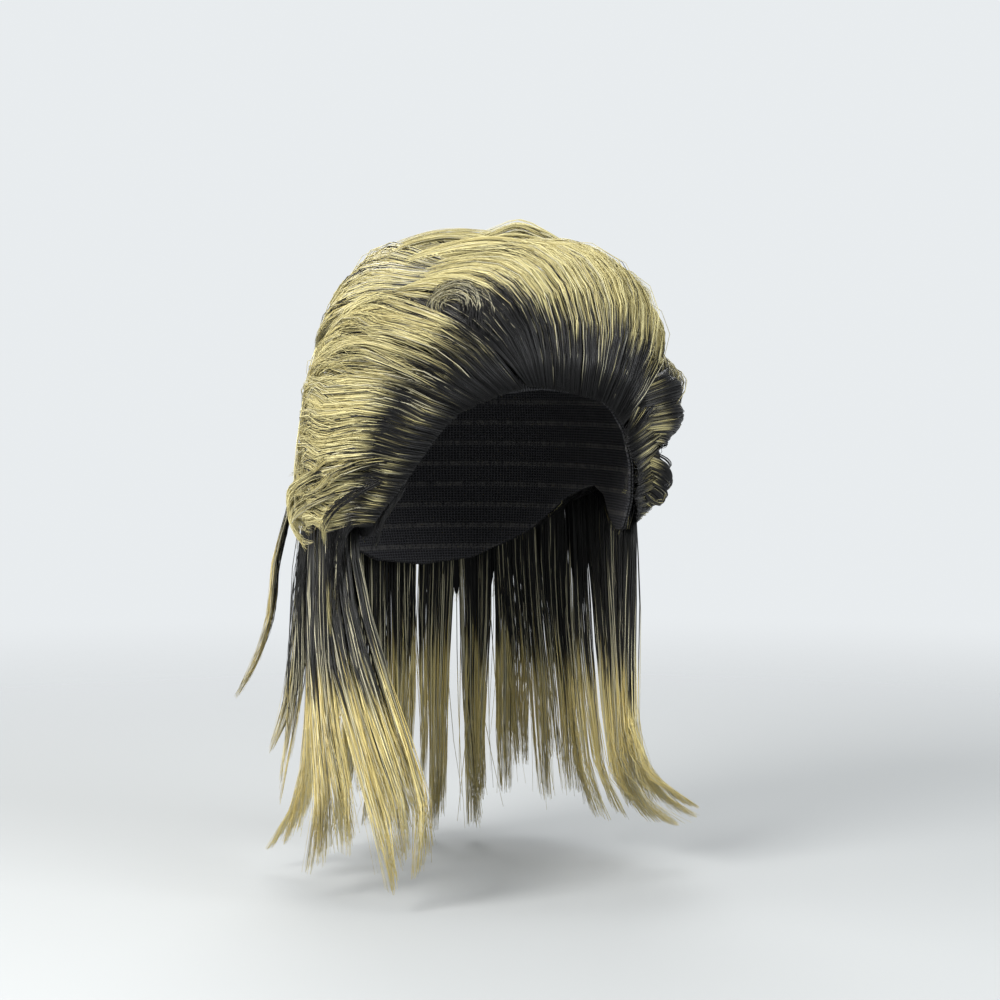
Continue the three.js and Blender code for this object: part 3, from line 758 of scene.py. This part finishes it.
def combRoll(roll, random):
    rows = edgeRows(roll["between"]) if "between" in roll else np.array(roll["rows"], float) * mm
    across, spans = rows.shape[0] - 1, rows.shape[1] - 1
    rows = extendEnds(extendEnds(rows.swapaxes(0, 1)).swapaxes(0, 1))
    count = roll["strands"]
    u = stepsAlong(roll)
    twigSide = np.linspace(-0.1, across + 0.1, roll["twigs"])
    twig = random.integers(0, roll["twigs"], count)
    side = twigSide[twig] + random.normal(0, 0.6 * across / roll["twigs"], count)
    x = side[:, None] + random.normal(0, 0.08, count)[:, None] * u
    last = 1 - rollComb["ends"] * np.abs(random.normal(0, 1, count))[:, None]
    y = spans * last * u
    line = onGrid(rows, x, y)
    _, out = outFromHead(line)
    lobes, crease = roll["lobes"]
    line = line - out * (crease * mm * np.cos(math.pi * lobes * x / across) ** 4)[..., None]
    sunk = random.random(count) ** 3 + random.normal(0, 0.06, roll["twigs"])[twig]
    line = roughen(line - out * (roll["deep"] * mm * sunk)[:, None, None], out, u, roll["frizz"], random)
    twigVary, strandVary = rollComb["dyeVary"]
    dyeAt = roll["dyeAt"] + random.normal(0, twigVary, roll["twigs"])[twig]
    dyeAt = dyeAt + random.normal(0, strandVary, count)
    pale = random.random(count) < rollComb["light"]
    dyeAt = np.where(pale, dyeAt * random.uniform(*rollComb["paleShare"], count), dyeAt)
    distance = travelled(line)
    dye = withPaintedShine(dyePlace(distance, dyeAt[:, None]), distance, *roll["paintedShine"], twig, random)
    return line, out, dye, strandTones(count, pale, random), curlComb["wide"]


def combWhorl(random):
    count = whorl["strands"]
    u = stepsAlong(whorl)
    outward = unit(np.array(whorl["outward"]))
    right = unit(np.cross(np.array([0, 0, 1.0]), outward))
    above = np.cross(outward, right)
    low, high = whorl["radii"]
    size = (low + (high - low) * random.random(count) ** 0.7)[:, None]
    bend = np.clip((u - whorl["bendAt"]) / (1 - whorl["bendAt"]), 0, 1)
    straight = np.clip(1 - u / whorl["bendAt"], 0, 1)
    leg = random.uniform(*whorl["legs"], count)[:, None] * size / high * straight
    radius = size * (1 - whorl["tighten"] * bend)
    angle = 2 * math.pi * random.uniform(*whorl["turns"], count)[:, None] * bend
    shiftX, shiftY = random.normal(0, whorl["wander"], (2, count, 1))
    stretchX, stretchY = random.uniform(*whorl["stretch"], (2, count, 1))
    x = radius * np.cos(angle) * stretchX + shiftX
    y = radius * np.sin(angle) * stretchY - leg + shiftY
    lift = random.uniform(*whorl["lift"], count)[:, None] - (x ** 2 + y ** 2) / (2 * whorl["bowl"])
    lift = lift - fadeOut(u, *whorl["sunk"], 2)
    line = np.array(whorl["middle"]) + x[..., None] * right + y[..., None] * above
    line = (line + lift[..., None] * outward) * mm
    out = np.broadcast_to(outward, line.shape)
    pale = random.random(count) < whorl["light"]
    past = np.where(pale, whorl["palePast"], random.normal(*whorl["past"], count))[:, None]
    lighter, since = whorl["lighter"]
    past = past + lighter * (u - since)
    dye = dyePlace(past - fadeOut(u, *whorl["darkStart"], 1), 0)
    line = roughen(line, out, u, whorl["frizz"], random)
    return line, out, dye, strandTones(count, pale, random), whorl["wide"]


def combUnder(random):
    # all the strands, and for each the lock that it lies under
    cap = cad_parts["cap"]
    count = under["strands"]
    u = stepsAlong(under)
    around = np.radians(random.uniform(*under["around"], count))[:, None]
    around = around + np.radians(random.normal(0, under["sway"], count))[:, None] * u
    fallen = random.uniform(0, under["startBy"], count)[:, None] * (1 - u) + u
    height = under["from"] + (under["to"] - under["from"]) * fallen
    dome = under["dome"]
    reach = dome * np.sqrt(np.clip(1 - (np.maximum(height, -dome) / dome + 1) ** 2, 0.02, 1))
    spots = np.stack([reach * np.sin(around), -reach * np.cos(around), height], -1) * mm
    lift = random.uniform(*under["lift"], count) * mm
    line, out = np.empty_like(spots), np.empty_like(spots)
    for k in range(count):
        for j in range(spots.shape[1]):
            _, near, normal, _ = cap.closest_point_on_mesh(Vector(spots[k, j] * under["far"]))
            out[k, j] = normal
            line[k, j] = np.array(near) + np.array(normal) * lift[k]
    line = roughen(line, out, u, under["frizz"], random)
    dye = dyePlace(travelled(line), (under["dyeAt"] + random.normal(0, under["dyeVary"], count))[:, None])
    tone = strandTones(count, random.random(count) < under["light"], random)
    middles = np.array([form[0][:, :2].mean(0) for form in sheets[under["family"]]["forms"]])
    owner = (unit(line[..., :2].mean(1)) @ unit(middles).T).argmax(1)
    return (line, out, dye, tone), owner


def quadCorners(left, right, low, high):
    left, right, low, high = np.broadcast_arrays(left, right, low, high)
    corners = ((left, low), (right, low), (right, high), (left, high))
    return np.stack([np.stack(corner, -1) for corner in corners], -2)


def tubeQuads(count, steps, around):
    start = np.arange(count)[:, None, None] * steps * around
    row = start + np.arange(steps - 1)[None, :, None] * around
    corner = np.arange(around)
    after = (corner + 1) % around
    quads = [row + corner, row + after, row + around + after, row + around + corner]
    return np.stack(quads, -1).reshape(-1, 4)


def strandTubes(line, out, dye, tone, wide, random):
    # closed three-sided tubes, thinner at the tip
    count, steps = line.shape[:2]
    ahead = unit(np.gradient(line, axis=1))
    aside = unit(np.cross(ahead, out))
    up = np.cross(aside, ahead)
    u = np.linspace(0, 1, steps)
    radius = wide * fibre["width"] / 2 * random.uniform(1 - fibre["vary"], 1 + fibre["vary"], count)[:, None]
    atRoot, less = fibre["taper"]
    radius = radius * (atRoot - less * u ** 2.5)
    angle = np.radians([90, 210, 330])
    points = line[:, :, None] + radius[..., None, None] * (
        np.cos(angle)[:, None] * aside[:, :, None] + np.sin(angle)[:, None] * up[:, :, None])
    width = fibre["toneWidth"]
    left = tone[:, None, None] + (np.arange(3) / 3 - 0.5) * width
    quadMap = quadCorners(left, left + width / 3, dye[:, :-1, None], dye[:, 1:, None])
    base = np.arange(count)[:, None] * steps * 3
    roots = base + np.array([[2, 1, 0]])
    tips = base + (steps - 1) * 3 + np.array([[0, 1, 2]])
    small = np.array([[-0.5, 0], [0.5, 0], [0, 0.004]]) * np.array([width, 1])
    rootMap = np.stack([tone, dye[:, 0]], -1)[:, None] + small
    tipMap = np.stack([tone, dye[:, -1]], -1)[:, None] + small
    return (points.reshape(-1, 3), tubeQuads(count, steps, 3), np.concatenate([roots, tips]),
            quadMap.reshape(-1, 4, 2), np.concatenate([rootMap, tipMap]))


def lockCore(sheet, index, layer):
    # the body of the lock under the strands
    rows, around = core["rows"], core["around"]
    u = np.linspace(core["start"], layer["coreEnd"], rows)
    y = u * (sheet["sections"] - 1) + 1
    middle, half, thick, bow = (onLine(table, y) for table in sheet["forms"][index])
    angle = 2 * math.pi * np.arange(around) / around
    taper = (1 - core["taper"] * (u / u[-1]) ** 3)[:, None, None]
    slim = core["wide"] * taper
    flat = core["thick"] * taper
    across = slim * np.cos(angle)[None, :, None]
    sunk = middle - layer["coreSunk"] * thick
    points = sunk[:, None] + half[:, None] * across + bow[:, None] * across ** 2
    points = points + thick[:, None] * flat * np.sin(angle)[None, :, None]
    distance = -middle[:, 2] / mm if layer["byHeight"] else travelled(middle[None])[0]
    dyeLengths, _, dyeSoft = layer["dyeAt"]
    dye = dyePlace(distance, acrossLocks(sheet, dyeLengths, index) + core["blondLater"], dyeSoft)
    poles = points[[0, -1]].mean(1)
    flatPoints = np.concatenate([points.reshape(-1, 3), poles])
    k = np.arange(around)
    after = (k + 1) % around
    mapStart, mapWide = core["map"]
    left = mapStart + mapWide * k / around
    quadMap = quadCorners(left, left + mapWide / around, dye[:-1, None], dye[1:, None]).reshape(-1, 4, 2)
    last = (rows - 1) * around
    fans = np.concatenate([np.stack([0 * k + rows * around, after, k], -1),
                           np.stack([0 * k + rows * around + 1, last + k, last + after], -1)])
    spread = np.stack([left, 0 * k], -1)[:, None]
    fan = np.array([[0.03, 1], [0, 0], [0.06, 0]])    # the pole and two points of the ring, on the map
    fanMap = [spread + fan * (1, step) + (0, value) for value, step in ((dye[0], -0.004), (dye[-1], 0.004))]
    return flatPoints, tubeQuads(1, rows, around), fans, quadMap, np.concatenate(fanMap)


def joinParts(parts):
    starts = np.cumsum([0] + [len(part[0]) for part in parts])
    moved = [(points, quads + start, triangles + start, *maps)
             for (points, quads, triangles, *maps), start in zip(parts, starts)]
    return [np.concatenate(group) for group in zip(*moved)]


def buildMesh(name, points, quads, triangles, quadMap, triangleMap):
    mesh = bpy.data.meshes.new(name)
    mesh.vertices.add(len(points))
    mesh.vertices.foreach_set("co", points.ravel())
    mesh.loops.add(quads.size + triangles.size)
    mesh.loops.foreach_set("vertex_index", np.concatenate([quads.ravel(), triangles.ravel()]))
    mesh.polygons.add(len(quads) + len(triangles))
    starts = np.concatenate([np.arange(len(quads)) * 4, quads.size + np.arange(len(triangles)) * 3])
    mesh.polygons.foreach_set("loop_start", starts)
    mesh.polygons.foreach_set("use_smooth", np.ones(len(starts), bool))
    places = mesh.uv_layers.new(name="OFBake")
    places.data.foreach_set("uv", np.concatenate([quadMap.ravel(), triangleMap.ravel()]))
    mesh.update(calc_edges=True)
    mesh.validate()
    piece = bpy.data.objects.new(name, mesh)
    scene.collection.objects.link(piece)
    return piece


underHair, underOwner = combUnder(np.random.default_rng(under["seed"]))
triangleTotal = 0
for familyIndex, family in enumerate(layers):
    sheet = sheets[family]
    layer = {**plainLayer, **layers[family]}
    for index in range(sheet["count"]):
        random = np.random.default_rng(1000 * familyIndex + index)
        lock = f"{family}_{index + 1}"
        combed = [combLock(sheet, index, layer, random)]
        combed += [combCurl(curl, random) for curl in curls if curl["joins"] == lock]
        combed += [combRoll(roll, random) for roll in rolls if roll["joins"] == lock]
        if lock == whorl["joins"]:
            combed.append(combWhorl(random))
        if family == under["family"]:
            combed.append((*(part[underOwner == index] for part in underHair), under["wide"]))
        body = lockCore(sheet, index, layer)
        parts = joinParts([strandTubes(*lines, random) for lines in combed] + [body])
        piece = buildMesh(f"hair_{lock}", *parts)
        piece.data.materials.append(lengthHair if family in ("nape", "stray") else shortHair)
        # the lock core's faces get the second, dark material: painted shade between the strands
        piece.data.materials.append(paintedShadeHair)
        inner = np.zeros(len(parts[1]) + len(parts[2]), int)
        inner[len(parts[1]) - len(body[1]):len(parts[1])] = 1
        inner[-len(body[2]):] = 1
        piece.data.polygons.foreach_set("material_index", inner)
        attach(piece, "root")
        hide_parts(lock)
        triangleTotal += len(parts[1]) * 2 + len(parts[2])
    print(family, "combed")
print("hair triangles:", triangleTotal)


# cap and edge band: the CAD forms rounded off
net = {"meshesAround": 320, "meshesDown": 4200, "weftStep": 12 * mm, "thread": (900, 900, 90),
       "dark": (0.012, 0.012, 0.014), "light": (0.05, 0.05, 0.055), "weft": (0.085, 0.082, 0.08),
       "bump": 0.6, "depth": 0.4 * mm}
elastic = {"ribs": 420, "lintScale": 1600, "dark": (0.008, 0.008, 0.009), "light": (0.04, 0.04, 0.043),
           "lint": (0.09, 0.09, 0.09), "bump": 0.7, "depth": 0.3 * mm}
fabricGloss = 0.15
rounding = {"weld": 1e-6, "flat": 40, "skewed": 60, "sharp": 60, "crease": 0.85, "levels": 2, "smooth": 50}


def startFabric(name):
    material, tree, shader = newMaterial(name)
    shader.inputs["Specular IOR Level"].default_value = fabricGloss
    place = tree.nodes.new("ShaderNodeTexCoord").outputs["Object"]
    split = tree.nodes.new("ShaderNodeSeparateXYZ")
    tree.links.new(place, split.inputs[0])
    around = mathNode(tree, "ARCTAN2", split.outputs["X"], split.outputs["Y"])
    return material, tree, place, around, split.outputs["Z"]


def sineOf(tree, value, rate):
    return mathNode(tree, "SINE", mathNode(tree, "MULTIPLY", value, rate))


def finishFabric(tree, fabric, colour, roughness, height):
    bump = tree.nodes.new("ShaderNodeBump")
    bump.inputs["Strength"].default_value = fabric["bump"]
    bump.inputs["Distance"].default_value = fabric["depth"]
    tree.links.new(height, bump.inputs["Height"])
    shader = tree.nodes["Principled BSDF"]
    wired = {"Base Color": colour, "Roughness": roughness, "Normal": bump.outputs["Normal"]}
    for label, output in wired.items():
        tree.links.new(output, shader.inputs[label])


def capNetMaterial():
    # a fine net with the rows that the hair is sewn on
    material, tree, place, around, up = startFabric("capNet")
    mesh = sineOf(tree, around, net["meshesAround"])
    mesh = mathNode(tree, "MAXIMUM", mesh, sineOf(tree, up, net["meshesDown"]))
    weft = rangeNode(tree, sineOf(tree, up, 2 * math.pi / net["weftStep"]), 0.55, 0.9)
    threads = noiseNode(tree, stretched(tree, place, net["thread"]), 1.0, 2)
    colour = mixColour(tree, rangeNode(tree, mesh, 0.2, 0.9), net["dark"], net["light"])
    sewn = mathNode(tree, "MULTIPLY", weft, rangeNode(tree, threads, 0.3, 0.7))
    colour = mixColour(tree, sewn, colour, net["weft"])
    height = mathNode(tree, "ADD", mathNode(tree, "MULTIPLY", weft, 2.0), mesh)
    finishFabric(tree, net, colour, rangeNode(tree, threads, 0.2, 0.8, 0.7, 0.95), height)
    return material


def elasticMaterial():
    material, tree, place, around, _ = startFabric("edgeElastic")
    ribs = sineOf(tree, around, elastic["ribs"])
    lint = noiseNode(tree, place, elastic["lintScale"], 2)
    colour = mixColour(tree, rangeNode(tree, ribs, -0.6, 0.8), elastic["dark"], elastic["light"])
    colour = mixColour(tree, rangeNode(tree, lint, 0.55, 0.8, 0.0, 0.35), colour, elastic["lint"])
    finishFabric(tree, elastic, colour, rangeNode(tree, lint, 0.3, 0.7, 0.6, 0.85), ribs)
    return material


def roundedCopy(node, name, material):
    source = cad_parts[node]
    piece = bpy.data.objects.new(name, source.data.copy())
    scene.collection.objects.link(piece)
    piece.data.materials.clear()
    bpy.ops.object.select_all(action="DESELECT")
    piece.select_set(True)
    bpy.context.view_layer.objects.active = piece
    bpy.ops.object.mode_set(mode="EDIT")
    bpy.ops.mesh.select_all(action="SELECT")
    bpy.ops.mesh.remove_doubles(threshold=rounding["weld"])
    bpy.ops.mesh.tris_convert_to_quads(face_threshold=math.radians(rounding["flat"]),
                                       shape_threshold=math.radians(rounding["skewed"]))
    bpy.ops.mesh.select_all(action="DESELECT")
    bpy.ops.mesh.edges_select_sharp(sharpness=math.radians(rounding["sharp"]))
    bpy.ops.transform.edge_crease(value=rounding["crease"])
    bpy.ops.object.mode_set(mode="OBJECT")
    smooth = piece.modifiers.new("round", "SUBSURF")
    smooth.levels = smooth.render_levels = rounding["levels"]
    bpy.ops.object.modifier_apply(modifier="round")
    bpy.ops.object.shade_smooth_by_angle(angle=math.radians(rounding["smooth"]))
    piece.data.materials.append(material)
    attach(piece, "root")
    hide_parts(node)


roundedCopy("cap", "net_cap", capNetMaterial())
roundedCopy("edge_band", "elastic_band", elasticMaterial())
print("cap and band made")
